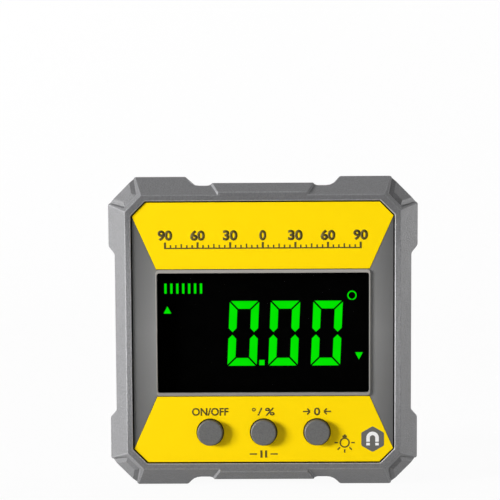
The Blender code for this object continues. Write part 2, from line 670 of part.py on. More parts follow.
def lit_shapes():
    """Every opening of the display's mask."""
    shapes = []
    for share in DIGIT_SHARES:
        shapes += zero_segments(share * WINDOW_HALF_WIDTH)
    half_point = POINT_SIZE / 2
    shapes.append(rectangle(half_point, half_point, x=POINT_X, z=POINT_Z))
    shapes.append(degree_ring())
    shapes.append(arrow(-ARROW_X, ARROW_UP_Z, 1))
    shapes.append(arrow(ARROW_X, ARROW_DOWN_Z, -1))
    for i in range(BAR_COUNT):
        shapes.append(rectangle(BAR_WIDTH / 2, BAR_HEIGHT / 2, x=BAR_LEFT_X + i * BAR_PITCH, z=BAR_Z))
    return shapes


def make_display(black, green, plastic, glass):
    """Lens, black mask with its lit openings, the light panel behind them, and the holder round both."""
    lens = rectangle(WINDOW_HALF_WIDTH + LENS_OVERLAP - LENS_FIT, WINDOW_HALF_HEIGHT + LENS_OVERLAP - LENS_FIT,
                     WINDOW_RADIUS)
    prism("display_window", lens, LENS_FRONT, LENS_FRONT + LENS_THICKNESS, glass)
    module = rectangle(MODULE_HALF_WIDTH, MODULE_HALF_HEIGHT, MODULE_ROUND)
    mask = prism("display_mask", module, MASK_FRONT, MASK_FRONT + MASK_THICKNESS, black)
    for shape in lit_shapes():
        cut(mask, prism("lit", shape, MASK_FRONT - PAST, MASK_FRONT + MASK_THICKNESS + PAST))
    prism("light_panel", module, PANEL_FRONT, SHELF_BACK, green)
    inner = rectangle(MODULE_HALF_WIDTH + GAP, MODULE_HALF_HEIGHT + GAP, MODULE_ROUND)
    outset = GAP + HOLDER_WALL
    outer = rectangle(MODULE_HALF_WIDTH + outset, MODULE_HALF_HEIGHT + outset, MODULE_ROUND + HOLDER_WALL)
    holder = prism("display_holder", outer, MASK_FRONT, SHELF_BACK, plastic)
    cut(holder, prism("inside", inner, MASK_FRONT - PAST, SHELF_BACK + PAST))


def make_face_seal(colour):
    """The gasket between the front panel and the housing's shelf."""
    outer = octagon(PLATE_HALF - GAP, PLATE_CORNER - GAP * OFFSET_CORNER)
    inner = octagon(PLATE_HALF - GAP - SEAL_WIDTH, PLATE_CORNER - (GAP + SEAL_WIDTH) * OFFSET_CORNER)
    seal = prism("face_seal", outer, SEAL_FRONT, SEAL_FRONT + SEAL_THICKNESS, colour)
    cut(seal, prism("inside", inner, SEAL_FRONT - PAST, SEAL_FRONT + SEAL_THICKNESS + PAST))


def make_board(green, black, steel):
    """Circuit board on the back of the shelf, its four screws, the chip and the tilt sensor."""
    board = prism("circuit_board", octagon(BOARD_HALF, BOARD_CORNER), BOARD_FRONT, BOARD_BACK, green)
    for index, (x, z) in enumerate(corner_places(BOARD_SCREW_X, BOARD_SCREW_Z), 1):
        hole = circle(BOARD_SCREW_SHANK + SCREW_FIT, 16)
        cut(board, prism("hole", hole, BOARD_FRONT - PAST, BOARD_BACK + PAST, centre=(x, z)))
        seat = BOARD_BACK + GAP
        screw(f"board_screw_{index}", x, z, seat - BOARD_SCREW_LENGTH, seat, BOARD_SCREW_SHANK,
              BOARD_SCREW_HEAD, BOARD_SCREW_HEAD_HEIGHT, steel)
    front = BOARD_BACK + GAP
    prism("controller_chip", rectangle(CHIP_SIZE / 2, CHIP_SIZE / 2), front, front + CHIP_THICKNESS, black,
          centre=CHIP_PLACE)
    prism("tilt_sensor", rectangle(SENSOR_SIZE / 2, SENSOR_SIZE / 2), front, front + CHIP_THICKNESS, steel,
          centre=SENSOR_PLACE)


def make_buttons(grey, black, plastic):
    """Three flanged caps behind the front panel, each with its plunger and its switch on the board."""
    flange_front = PLATE_BACK + GAP
    flange_back = flange_front + FLANGE_THICKNESS
    edge = BUTTON_RADIUS - BUTTON_ROUND
    switch_back = BOARD_FRONT - GAP
    switch_front = switch_back - SWITCH_DEPTH
    for name, x in zip(("power", "tilt", "zero"), button_places()):
        cap = [(edge, -BUTTON_PROUD)]
        for step in (1, 2, 3):
            angle = pi / 2 * step / 3
            cap.append((edge + BUTTON_ROUND * sin(angle), -BUTTON_PROUD + BUTTON_ROUND * (1 - cos(angle))))
        cap += [(BUTTON_RADIUS, flange_front), (FLANGE_RADIUS, flange_front), (FLANGE_RADIUS, flange_back)]
        turned(f"{name}_button", cap, grey, (x, 0.0, BUTTON_Z))
        plunger = [(PLUNGER_RADIUS, flange_back + GAP), (PLUNGER_RADIUS, switch_front + PLUNGER_REACH)]
        turned(f"{name}_plunger", plunger, plastic, (x, 0.0, BUTTON_Z), count=24)
        outline = rectangle(SWITCH_SIZE / 2, SWITCH_SIZE / 2, SWITCH_ROUND)
        body = prism(f"{name}_switch", outline, switch_front, switch_back, black, centre=(x, BUTTON_Z))
        bore = circle(PLUNGER_RADIUS + PLUNGER_FIT, 24)
        bottom = switch_front + PLUNGER_REACH + BUTTON_TRAVEL + BUTTON_FIT
        cut(body, prism("bore", bore, switch_front - PAST, bottom, centre=(x, BUTTON_Z)))


def make_rear_cover(colour):
    """One moulding: the back plate, the battery tray on its inside, the door's rebate and the screw seats."""
    cover = prism("rear_cover", octagon(COVER_HALF, COVER_CORNER), COVER_FRONT, COVER_BACK, colour)
    tray = rectangle(TRAY_HALF_LENGTH + TRAY_WALL, TRAY_HALF_HEIGHT + TRAY_WALL, TRAY_ROUND)
    join(cover, prism("tray", tray, TRAY_OUTER, COVER_FRONT + INTO))
    for side in (1, -1):
        boss = circle(DOOR_BOSS_RADIUS, 32)
        join(cover, prism("boss", boss, COVER_FRONT - DOOR_BOSS_HEIGHT, COVER_FRONT + INTO,
                          centre=(0.0, side * DOOR_SCREW_Z)))
    inside = rectangle(TRAY_HALF_LENGTH, TRAY_HALF_HEIGHT, GAP)
    cut(cover, prism("inside", inside, TRAY_INNER, COVER_FRONT + GAP))
    mouth = rectangle(MOUTH_HALF_WIDTH, TRAY_HALF_HEIGHT, GAP)
    cut(cover, prism("mouth", mouth, COVER_FRONT - INTO, DOOR_REBATE + INTO))
    rebate = rectangle(DOOR_HALF_WIDTH + GAP, DOOR_HALF_HEIGHT + GAP, DOOR_RADIUS + GAP)
    cut(cover, prism("rebate", rebate, DOOR_REBATE, DEPTH))
    for side in (1, -1):
        hole = circle(DOOR_SCREW_SHANK + SCREW_FIT, 24)
        bottom = COVER_BACK - DOOR_SCREW_HEAD_HEIGHT - DOOR_SCREW_LENGTH - GAP
        cut(cover, prism("hole", hole, bottom, DEPTH, centre=(0.0, side * DOOR_SCREW_Z)))
    for x, z in corner_places(REAR_SCREW_PLACE, REAR_SCREW_PLACE):
        seat = COVER_BACK - SCREW_FIT - REAR_SCREW_HEAD_HEIGHT - GAP
        cut(cover, prism("seat", circle(REAR_SCREW_HEAD + SCREW_FIT, 32), seat, DEPTH, centre=(x, z)))
        hole = circle(REAR_SCREW_SHANK + SCREW_FIT, 24)
        cut(cover, prism("hole", hole, COVER_FRONT - PAST, DEPTH, centre=(x, z)))
    for side in (1, -1):
        slot = rectangle(CONTACT_THICKNESS / 2 + GAP, TAIL_HALF_WIDTH + GAP)
        place = (-(CONTACT_INNER + CONTACT_OUTER) / 2, side * CELL_PITCH / 2)
        cut(cover, prism("slot", slot, TRAY_OUTER - PAST, TRAY_INNER + PAST, centre=place))
    shade_round(cover)


def make_rear_fittings(rubber, steel):
    """The seal under the rear cover and the four screws that draw it down."""
    outer = octagon(POCKET_HALF - SCREW_FIT, POCKET_CORNER - SCREW_FIT * OFFSET_CORNER)
    inset = SCREW_FIT + REAR_SEAL_WIDTH
    inner = octagon(POCKET_HALF - inset, POCKET_CORNER - inset * OFFSET_CORNER)
    front = REAR_SEAL_BACK - REAR_SEAL_THICKNESS
    seal = prism("rear_seal", outer, front, REAR_SEAL_BACK, rubber)
    cut(seal, prism("inside", inner, front - PAST, REAR_SEAL_BACK + PAST))
    for index, (x, z) in enumerate(corner_places(REAR_SCREW_PLACE, REAR_SCREW_PLACE), 1):
        seat = COVER_BACK - SCREW_FIT - REAR_SCREW_HEAD_HEIGHT
        screw(f"rear_screw_{index}", x, z, seat - REAR_SCREW_LENGTH, seat, REAR_SCREW_SHANK, REAR_SCREW_HEAD,
              REAR_SCREW_HEAD_HEIGHT, steel)


def make_door(plastic, rubber, steel):
    """The screwed battery door, its seal and its two screws."""
    outline = rectangle(DOOR_HALF_WIDTH, DOOR_HALF_HEIGHT, DOOR_RADIUS)
    door = prism("battery_door", outline, DOOR_FRONT, COVER_BACK, plastic)
    seat = COVER_BACK - DOOR_SCREW_HEAD_HEIGHT
    for side in (1, -1):
        place = (0.0, side * DOOR_SCREW_Z)
        counterbore = circle(DOOR_SCREW_HEAD + SCREW_FIT, 32)
        cut(door, prism("counterbore", counterbore, seat - GAP, DEPTH, centre=place))
        hole = circle(DOOR_SCREW_SHANK + SCREW_FIT, 24)
        cut(door, prism("hole", hole, DOOR_FRONT - PAST, DEPTH, centre=place))
    for index, side in enumerate((1, -1), 1):
        screw(f"door_screw_{index}", 0.0, side * DOOR_SCREW_Z, seat - DOOR_SCREW_LENGTH,
              seat - DOOR_SCREW_SUNK, DOOR_SCREW_SHANK, DOOR_SCREW_HEAD, DOOR_SCREW_HEAD_HEIGHT, steel)
    inner_width = MOUTH_HALF_WIDTH + SCREW_FIT
    inner_height = TRAY_HALF_HEIGHT + SCREW_FIT
    front = DOOR_SEAL_BACK - DOOR_SEAL_THICKNESS
    outer = rectangle(inner_width + DOOR_SEAL_WIDTH, inner_height + DOOR_SEAL_WIDTH, GAP + DOOR_SEAL_WIDTH)
    seal = prism("door_seal", outer, front, DOOR_SEAL_BACK, rubber)
    cut(seal, prism("inside", rectangle(inner_width, inner_height, GAP), front - PAST, DOOR_SEAL_BACK + PAST))


def tail_outline(x_low, x_high, low, high):
    return [(x_high, low), (x_high, high), (x_low, high), (x_low, low)]


def make_cells(wrap, steel, wire_red, wire_black):
    """Two round cells side by side, with springs, contact plates and the leads to the board."""
    for index, (side, direction) in enumerate(((1, 1), (-1, -1)), 1):
        z = side * CELL_PITCH / 2
        tip = CONTACT_INNER - GAP
        shoulder = tip - CELL_NUB_LENGTH
        end = shoulder - CELL_LENGTH
        rim = CELL_RIM
        profile = [(CELL_RADIUS - rim, end), (CELL_RADIUS, end + rim), (CELL_RADIUS, shoulder - rim),
                   (CELL_RADIUS - rim, shoulder), (CELL_NUB_RADIUS, shoulder), (CELL_NUB_RADIUS, tip)]
        profile = [(radius, direction * at) for radius, at in profile]
        turned(f"battery_{index}", profile, wrap, (0.0, CELL_DEPTH, z), "X", 40)
        spring_start = direction * (end - GAP)
        spring_end = -direction * (CONTACT_INNER - GAP)
        make_spring(f"battery_spring_{index}", spring_start, spring_end, z, steel)
    bridge = tail_outline(CONTACT_INNER, CONTACT_OUTER, -CELL_PITCH / 2 - CONTACT_HALF_WIDTH,
                          CELL_PITCH / 2 + CONTACT_HALF_WIDTH)
    plate_front = CELL_DEPTH - CONTACT_HALF_WIDTH
    plate_back = CELL_DEPTH + CONTACT_HALF_WIDTH
    prism("contact_bridge", bridge, plate_front, plate_back, steel)
    for name, side in (("contact_negative", 1), ("contact_positive", -1)):
        z = side * CELL_PITCH / 2
        plate = tail_outline(-CONTACT_OUTER, -CONTACT_INNER, z - CONTACT_HALF_WIDTH, z + CONTACT_HALF_WIDTH)
        made = prism(name, plate, plate_front, plate_back, steel)
        tail = tail_outline(-CONTACT_OUTER, -CONTACT_INNER, z - TAIL_HALF_WIDTH, z + TAIL_HALF_WIDTH)
        join(made, prism("tail", tail, TRAY_OUTER - TAIL_END, plate_front + INTO))
        wire = wire_black if side == 1 else wire_red
        make_lead(name.replace("contact", "lead"), z, wire)


def make_spring(name, start_x, end_x, z, colour):
    """A flat conical spring, wide at the contact plate and narrow at the cell."""
    steps = 32
    length = end_x - start_x
    sign = 1 if length > 0 else -1
    first = start_x + sign * SPRING_WIRE
    last = end_x - sign * SPRING_WIRE
    points = []
    for i in range(steps + 1):
        share = i / steps
        radius = SPRING_SMALL + (SPRING_LARGE - SPRING_SMALL) * share
        angle = 2 * pi * SPRING_TURNS * share
        points.append((first + (last - first) * share, FRONT_Y + CELL_DEPTH + radius * cos(angle),
                       HALF + z + radius * sin(angle)))
    wire_object(name, points, SPRING_WIRE, colour)


def make_lead(name, z, colour):
    """A short insulated wire from a contact's tail to the back of the board."""
    x = -CONTACT_OUTER + LEAD_RADIUS
    start = TRAY_OUTER - TAIL_END - GAP
    end = BOARD_BACK + GAP
    steps = 12
    points = []
    for i in range(steps + 1):
        share = i / steps
        sway = (1 - cos(pi * share)) / 2
        points.append((x + LEAD_BEND * sway, FRONT_Y + start + (end - start) * share, HALF + z))
    wire_object(name, points, LEAD_RADIUS, colour)


def wire_object(name, points, radius, colour):
    """A round wire along a row of points, with closed ends."""
    curve = bpy.data.curves.new(name, "CURVE")
    curve.dimensions = "3D"
    curve.bevel_depth = radius * MM
    curve.bevel_resolution = 2
    curve.use_fill_caps = True
    spline = curve.splines.new("POLY")
    spline.points.add(len(points) - 1)
    for point, place in zip(spline.points, points):
        point.co = (*(Vector(place) * MM), 1.0)
    curve.materials.append(colour)
    made = bpy.data.objects.new(name, curve)
    bpy.context.collection.objects.link(made)


def make_magnets(steel):
    """Four discs in the two lower feet, just inside the face that the gauge stands on."""
    for index, (x, y) in enumerate(magnet_places(), 1):
        profile = [(MAGNET_RADIUS - MAGNET_CHAMFER, GAP), (MAGNET_RADIUS, GAP + MAGNET_CHAMFER),
                   (MAGNET_RADIUS, GAP + MAGNET_THICKNESS)]
        turned(f"base_magnet_{index}", profile, steel, (x, y - FRONT_Y, -HALF), "Z", 32)


def build():
    for old in list(bpy.data.objects):
        bpy.data.objects.remove(old)
    casting = material("casting", (0.30, 0.30, 0.31), 0.55, 0.2)
    panel = material("panel", (0.20, 0.20, 0.20), 0.5)
    yellow = material("yellow", (1.0, 0.70, 0.0), 0.5)
    glass = material("glass", (0.85, 0.9, 0.9), 0.1, 0.0, 0.15)
    black = material("black", (0.01, 0.01, 0.01), 0.4)
    green = material("green", (0.0, 0.85, 0.02), 0.5)
    plastic = material("plastic", (0.12, 0.12, 0.12), 0.6)
    board = material("board", (0.02, 0.16, 0.06), 0.5)
    rubber = material("rubber", (0.03, 0.03, 0.03), 0.8)
    steel = material("steel", (0.6, 0.6, 0.62), 0.3, 1.0)
    button = material("button", (0.24, 0.24, 0.24), 0.5)
    wrap = material("wrap", (0.05, 0.12, 0.35), 0.4)
    red = material("red", (0.5, 0.02, 0.02), 0.5)
    make_housing(casting)
    make_face_plate(panel)
    make_inlays(yellow)
    make_display(black, green, plastic, glass)
    make_face_seal(rubber)
    make_board(board, black, steel)
    make_buttons(button, black, plastic)
    make_rear_cover(plastic)
    make_rear_fittings(rubber, steel)
    make_door(plastic, rubber, steel)
    make_cells(wrap, steel, red, black)
    make_magnets(steel)


build()
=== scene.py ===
import json
from math import cos, pi, radians, sin

import bmesh
import bpy
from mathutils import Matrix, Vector

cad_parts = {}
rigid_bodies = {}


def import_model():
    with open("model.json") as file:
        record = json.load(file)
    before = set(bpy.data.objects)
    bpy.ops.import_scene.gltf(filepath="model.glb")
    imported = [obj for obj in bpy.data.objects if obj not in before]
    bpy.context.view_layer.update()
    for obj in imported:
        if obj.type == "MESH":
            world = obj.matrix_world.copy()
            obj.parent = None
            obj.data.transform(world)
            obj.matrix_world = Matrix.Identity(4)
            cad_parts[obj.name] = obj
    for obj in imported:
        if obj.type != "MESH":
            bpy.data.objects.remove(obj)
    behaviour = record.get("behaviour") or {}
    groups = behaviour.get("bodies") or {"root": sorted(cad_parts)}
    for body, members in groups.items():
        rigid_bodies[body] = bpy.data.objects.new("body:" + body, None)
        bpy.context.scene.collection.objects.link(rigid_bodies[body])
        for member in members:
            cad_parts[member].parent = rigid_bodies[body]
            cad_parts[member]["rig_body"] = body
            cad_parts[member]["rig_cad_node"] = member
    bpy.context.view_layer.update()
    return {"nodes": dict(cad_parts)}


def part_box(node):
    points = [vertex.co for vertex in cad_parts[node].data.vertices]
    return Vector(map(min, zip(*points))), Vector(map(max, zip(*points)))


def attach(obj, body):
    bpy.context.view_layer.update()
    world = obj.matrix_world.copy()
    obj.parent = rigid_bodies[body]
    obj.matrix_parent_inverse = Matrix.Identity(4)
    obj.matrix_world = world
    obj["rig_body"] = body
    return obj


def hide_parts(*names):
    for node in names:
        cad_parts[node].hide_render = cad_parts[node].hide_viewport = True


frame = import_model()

# Camera. The photograph is a plain front view from about 0.23 m, a little above the middle of the display,
# with the gauge low in a square picture. The lens shift puts it there without tilting the view.
PICTURE = 500
FACE_CENTRE_PIXEL = (263.1, 333.0)
PIXELS_PER_METRE = 5242
VIEW_DISTANCE = 0.230
VIEW_HEIGHT_ANGLE = radians(3.85)
VIEW_SIDE_ANGLE = radians(0.5)
VIEW_ROLL = radians(-0.277)
SENSOR_WIDTH = 36.0
ring_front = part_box("housing")[0].y
face_centre = Vector((0.0, ring_front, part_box("housing")[1].z / 2))
away = Vector((cos(VIEW_HEIGHT_ANGLE) * sin(VIEW_SIDE_ANGLE), -cos(VIEW_HEIGHT_ANGLE) * cos(VIEW_SIDE_ANGLE),
               sin(VIEW_HEIGHT_ANGLE)))
bpy.ops.object.camera_add(location=face_centre + away * VIEW_DISTANCE)
camera = bpy.context.object
camera.name = "view_camera"
camera.rotation_euler = away.to_track_quat("Z", "Y").to_euler()
camera.rotation_euler.rotate_axis("Z", VIEW_ROLL)
camera.data.sensor_width = SENSOR_WIDTH
camera.data.lens = PIXELS_PER_METRE * VIEW_DISTANCE / PICTURE * SENSOR_WIDTH
camera.data.shift_x = -(FACE_CENTRE_PIXEL[0] - PICTURE / 2) / PICTURE
camera.data.shift_y = (FACE_CENTRE_PIXEL[1] - PICTURE / 2) / PICTURE
bpy.context.scene.camera = camera

# Housing. One aluminium casting with bevelled edges, raised shoulders, waists at its sides, and pads on its
# corners and at the middle of its top and base. It is blasted and then painted, so its grey has a fine even
# grain, and its edges are softly rounded. The roundings carry a painted highlight, the front ring has painted
# light and shade, and the gap inside the ring is painted black as shade.
MERGE_DISTANCE = 2e-6
FLAT_ANGLE = radians(0.4)


def only(piece):
    """Nothing but this piece is selected and active."""
    bpy.ops.object.select_all(action="DESELECT")
    piece.select_set(True)
    bpy.context.view_layer.objects.active = piece


def merged_copy(node, name):
    """A copy of a piece of the frame, with its points merged and its flat faces whole again."""
    source = frame["nodes"][node]
    piece = source.copy()
    piece.data = source.data.copy()
    piece.name = name
    piece.data.name = name
    piece.parent = None
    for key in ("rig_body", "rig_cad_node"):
        del piece[key]
    bpy.context.scene.collection.objects.link(piece)
    piece.data.materials.clear()
    only(piece)
    bpy.ops.mesh.customdata_custom_splitnormals_clear()
    bpy.ops.object.mode_set(mode="EDIT")
    bpy.ops.mesh.select_all(action="SELECT")
    bpy.ops.mesh.remove_doubles(threshold=MERGE_DISTANCE)
    bpy.ops.mesh.dissolve_limited(angle_limit=FLAT_ANGLE)
    bpy.ops.object.mode_set(mode="OBJECT")
    return piece


def shade(piece, angle):
    """Smooth over edges up to this angle, with flat faces kept flat beside their narrow roundings."""
    only(piece)
    bpy.ops.object.shade_smooth_by_angle(angle=angle)
    normals = piece.modifiers.new("Face normals", "WEIGHTED_NORMAL")
    normals.mode = "FACE_AREA"
    normals.weight = 90
    normals.keep_sharp = True
    bpy.ops.object.modifier_apply(modifier=normals.name)


def place(piece, body, slot, *nodes):
    """The piece rides on its body and stands for its nodes, which are hidden. The slot is not used."""
    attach(piece, body)
    if nodes:
        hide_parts(*nodes)


class Amount:
    """A number that varies over a surface. Sums and products of amounts add their Math nodes."""

    def __init__(self, nodes, socket):
        self.nodes = nodes
        self.socket = socket

    def __add__(self, other):
        return self.nodes.math("ADD", self, other)

    __radd__ = __add__

    def __sub__(self, other):
        return self.nodes.math("SUBTRACT", self, other)

    def __rsub__(self, other):
        return self.nodes.math("SUBTRACT", other, self)

    def __mul__(self, other):
        return self.nodes.math("MULTIPLY", self, other)

    __rmul__ = __mul__

    def __truediv__(self, other):
        return self.nodes.math("DIVIDE", self, other)

    def __pow__(self, other):
        return self.nodes.math("POWER", self, other)

    def __abs__(self):
        return self.nodes.math("ABSOLUTE", self)

    def clamped(self):
        """The amount kept between 0 and 1."""
        return self.nodes.math("MINIMUM", self.nodes.math("MAXIMUM", self, 0.0), 1.0)


class Nodes:
    """A node tree in the making."""

    def __init__(self, tree):
        self.tree = tree

    def add(self, kind, inputs=None, output=0, **settings):
        """Adds a node of any kind, with its settings and the values or links of its sockets."""
        node = self.tree.nodes.new("ShaderNode" + kind)
        for key, value in settings.items():
            setattr(node, key, value)
        for key, value in (inputs or {}).items():
            self.feed(node.inputs[key], value)
        return Amount(self, node.outputs[output])

    def add_all(self, kind, outputs, inputs=None):
        """Adds a node and gives several of its outputs."""
        node = self.add(kind, inputs).socket.node
        return [Amount(self, node.outputs[output]) for output in outputs]

    def feed(self, socket, value):
        """A socket takes a value or a link."""
        if isinstance(value, Amount):
            self.tree.links.new(value.socket, socket)
        else:
            socket.default_value = value

    def math(self, operation, *values):
        """One Math node."""
        return self.add("Math", dict(enumerate(values)), operation=operation)


class Finish(Nodes):
    """A material in the making: its tree, its shader, and the place of a point on the piece."""

    def __init__(self, name, **constants):
        self.material = bpy.data.materials.new(name)
        self.material.use_nodes = True
        super().__init__(self.material.node_tree)
        self.shader = self.tree.nodes["Principled BSDF"]
        for key, value in constants.items():
            self.shader.inputs[key.replace("_", " ")].default_value = value
        self.object_place = self.add("TexCoord", output="Object")

    def mix(self, share, first, second):
        """A colour between two others."""
        return self.add("Mix", {0: share, 6: first, 7: second}, output=2, data_type="RGBA")

    def tinted(self, colour, factor):
        """A colour made lighter or darker by an amount around 1."""
        return self.add("VectorMath", {0: colour[:3], 3: factor}, operation="SCALE")

    def noise(self, size, detail=2.0, roughness=0.5):
        """Even noise whose features are about this size, in metres."""
        return self.add("TexNoise", {"Vector": self.object_place, "Scale": 1 / size, "Detail": detail,
                                     "Roughness": roughness})

    def axes(self):
        """The X, Y and Z of a point on the surface."""
        return self.add_all("SeparateXYZ", range(3), {0: self.object_place})

    def ramp(self, amount, low, high):
        """An amount turned from one range into another. Each end is a pair, the old value and the new."""
        return self.add("MapRange", {"Value": amount, "From Min": low[0], "From Max": high[0],
                                     "To Min": low[1], "To Max": high[1]})

    def use(self, name, value):
        """The shader's named socket takes a value or a link."""
        self.feed(self.shader.inputs[name], value)

    def relief(self, height, depth, strength):
        """A bump of the given depth in metres."""
        self.use("Normal", self.add("Bump", {"Height": height, "Distance": depth, "Strength": strength},
                                    output="Normal"))

    def onto(self, piece):
        """The only slot of the piece."""
        piece.data.materials.clear()
        piece.data.materials.append(self.material)

    def also_onto(self, piece):
        """A second slot of the piece."""
        piece.data.materials.append(self.material)


LIP_HALF = 0.02545
LIP_CORNER_REACH = 0.04785
RING_REACH = 0.024


def cast_paint(name, lightness, lip_painted_highlight=1.0):
    """Grey paint over a blasted casting: even grain, a slight mottle and a satin sheen. The front ring has
    painted light at the middle of its two sides and painted shade over the rest of its front, most at the
    top. Its inner lip can take a stronger painted highlight, and the faces that go in past the lip are
    painted black as shade."""
    grey = (0.148, 0.148, 0.153, 1.0)
    front_depth = 0.00007
    gap_shade_depth = 0.00025
    gap_shade_fade = 0.0002
    edge_fade = 0.00004
    corner_fade = 0.0012
    side_painted_light = 0.67
    front_painted_shade = 0.18
    upper_painted_shade = 0.08
    finish = Finish(name, Specular_IOR_Level=0.5)
    x, y, z = finish.axes()
    across = abs(x)
    rise = abs(z - face_centre.z)
    grain = finish.ramp(finish.noise(0.00030, detail=2.0, roughness=0.6), (0.32, 0.0), (0.68, 1.0))
    fine = finish.noise(0.00014, detail=1.0)
    mottle = finish.noise(0.0012, detail=2.0)
    # Painted light and shade on the front ring: lighter at the middle of its two sides, darker elsewhere,
    # most at the top.
    front = ((ring_front + front_depth - y) / edge_fade).clamped()
    sides = ((across - rise) / corner_fade).clamped()
    middle = (1.0 - (rise / RING_REACH) ** 2).clamped()
    upper = (z - face_centre.z) / RING_REACH
    ring_painted_light = 1.0 + front * (sides * middle * side_painted_light - front_painted_shade - upper * upper_painted_shade)
    span = finish.math("MAXIMUM", finish.math("MAXIMUM", across, rise),
                       across + rise - (LIP_CORNER_REACH - LIP_HALF))
    lip = ((LIP_HALF - span) / edge_fade).clamped()
    # Painted shade: faces that go in past the lip are painted black where the gap lies in shadow.
    depth = ((y - ring_front - gap_shade_depth) / gap_shade_fade).clamped()
    gap_shade = depth * lip
    # Above 1, the lightness and the lip's lightness are painted highlights on the rounded edges and the inner
    # lip.
    tone = (0.76 + grain * 0.34 + mottle * 0.14) * ring_painted_light * (lightness + lip * (lip_painted_highlight - lightness))
    finish.use("Base Color", finish.mix(gap_shade, finish.tinted(grey, tone), (0.006, 0.006, 0.006, 1.0)))
    finish.use("Roughness", 0.36 + grain * 0.16)
    finish.relief(grain + fine * 0.5 + mottle * 0.3, 0.00005, 0.8)
    return finish


HOUSING_EDGE = 0.00015
SHARP_ANGLE = radians(30)
EDGE_SHADE_ANGLE = radians(24)
INSIDE_HALF = 0.0249
INSIDE_REACH = 0.0472
CHAMFER_REACH = 0.0489
GROOVE_CLEAR = 0.0003
groove_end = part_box("housing")[1].y - ring_front - GROOVE_CLEAR


def to_be_rounded(edge):
    """Whether a housing edge is sharp, on the outside or the lip, and clear of the narrow corner grooves."""
    outside = True
    in_groove = True
    for point in edge.verts:
        x = abs(point.co.x)
        z = abs(point.co.z - face_centre.z)
        depth = point.co.y - ring_front
        outside = outside and (max(x, z) > INSIDE_HALF or x + z > INSIDE_REACH)
        in_groove = in_groove and x + z > CHAMFER_REACH and GROOVE_CLEAR < depth < groove_end
    sharp = edge.is_manifold and edge.calc_face_angle() > SHARP_ANGLE
    return sharp and outside and not in_groove


housing = merged_copy("housing", "cast_housing")
cast_paint("cast_paint", 1.0).onto(housing)
# The rounded edges take this lighter copy of the paint as a painted highlight, stronger still on the inner
# lip.
cast_paint("cast_edge_painted_highlight", 1.45, 2.6).also_onto(housing)
edges = bmesh.new()
edges.from_mesh(housing.data)
chosen = [to_be_rounded(edge) for edge in edges.edges]
edges.free()
only(housing)
bpy.ops.object.mode_set(mode="EDIT")
bpy.ops.mesh.select_mode(type="EDGE")
bpy.ops.mesh.select_all(action="DESELECT")
bpy.ops.object.mode_set(mode="OBJECT")
for edge, wanted in zip(housing.data.edges, chosen):
    edge.select = wanted
bpy.ops.object.mode_set(mode="EDIT")
bpy.ops.mesh.bevel(offset=HOUSING_EDGE, segments=3, affect="EDGES", clamp_overlap=False, material=1)
bpy.ops.object.mode_set(mode="OBJECT")
shade(housing, EDGE_SHADE_ANGLE)
place(housing, "case", "casting", "housing")

# Front panel. A grey satin moulding behind the frame's front ring, with a raised bead round the window.
# Only its two sides and the bead show, because the coloured inlays cover the rest.
REAL_EDGE_ANGLE = radians(32)
ROUNDED_SHADE_ANGLE = radians(50)
PANEL_EDGE = 0.00012


def soften(piece, width):
    """Rounds every edge that turns by more than the real edge's angle, and keeps the faces beside it flat."""
    only(piece)
    bevel = piece.modifiers.new("Rounded edges", "BEVEL")
    bevel.width = width
    bevel.segments = 2
    bevel.limit_method = "ANGLE"
    bevel.angle_limit = REAL_EDGE_ANGLE
    bpy.ops.object.modifier_apply(modifier=bevel.name)
    shade(piece, ROUNDED_SHADE_ANGLE)


def panel_satin():
    """Satin grey that is lightest beside the middle of the window and darker towards its ends and outer edge,
    with a paler bead whose warm tint and lighter top are painted light, and painted shade in black on every
    face that goes in past the panel's front."""
    half_height = 0.0235
    half_width = 0.0250
    window_side = 0.0205
    window_half_height = 0.0117
    face_depth = 0.0006
    face_fade = 0.00015
    bead_depth = 0.0003
    bead_fade = 0.0001
    finish = Finish("panel_satin", Roughness=0.42, Specular_IOR_Level=0.4)
    x, y, z = finish.axes()
    rise = (abs(z - face_centre.z) / half_height).clamped()
    inward = 1.0 - ((abs(x) - window_side) / (half_width - window_side)).clamped()
    grain = finish.noise(0.00018, detail=2.0)
    level = (0.112 + inward * 0.095) * (1.0 - rise * 0.36) + grain * 0.012
    grey = finish.add("CombineColor", {0: level, 1: level, 2: level * 0.995})
    bead = ((ring_front + bead_depth - y) / bead_fade).clamped()
    # Painted light: the bead is tinted warm as if lit by bounce off the yellow, and lighter towards its top.
    bead_painted_light = 1.17 + (z - face_centre.z) / window_half_height * 0.18
    surface = finish.mix(bead, grey, finish.tinted((0.250, 0.237, 0.218), bead_painted_light))
    # Painted shade: every face deeper than the panel's front is painted black as the shade in the gaps.
    behind = ((y - ring_front - face_depth) / face_fade).clamped()
    finish.use("Base Color", finish.mix(behind, surface, (0.004, 0.004, 0.004, 1.0)))
    finish.relief(grain, 0.000012, 0.5)
    return finish


panel = merged_copy("face_plate", "front_panel")
soften(panel, PANEL_EDGE)
panel_satin().onto(panel)
place(panel, "case", "panel", "face_plate")

# Coloured inlays. Two sheets of yellow film-covered plastic, stuck on steps of the front panel. The lower one
# has the three button holes.
INLAY_EDGE = 0.00004


def yellow_film():
    """Smooth satin yellow with a barely visible pebble in the film."""
    yellow = (1.0, 0.700, 0.0, 1.0)
    finish = Finish("yellow_film", Roughness=0.5, Specular_IOR_Level=0.08)
    pebble = finish.noise(0.00035, detail=2.0)
    cloud = finish.noise(0.006, detail=1.0)
    finish.use("Base Color", finish.tinted(yellow, 0.985 + pebble * 0.02 + cloud * 0.01))
    finish.use("Roughness", 0.46 + pebble * 0.08)
    finish.relief(pebble, 0.000006, 0.4)
    return finish


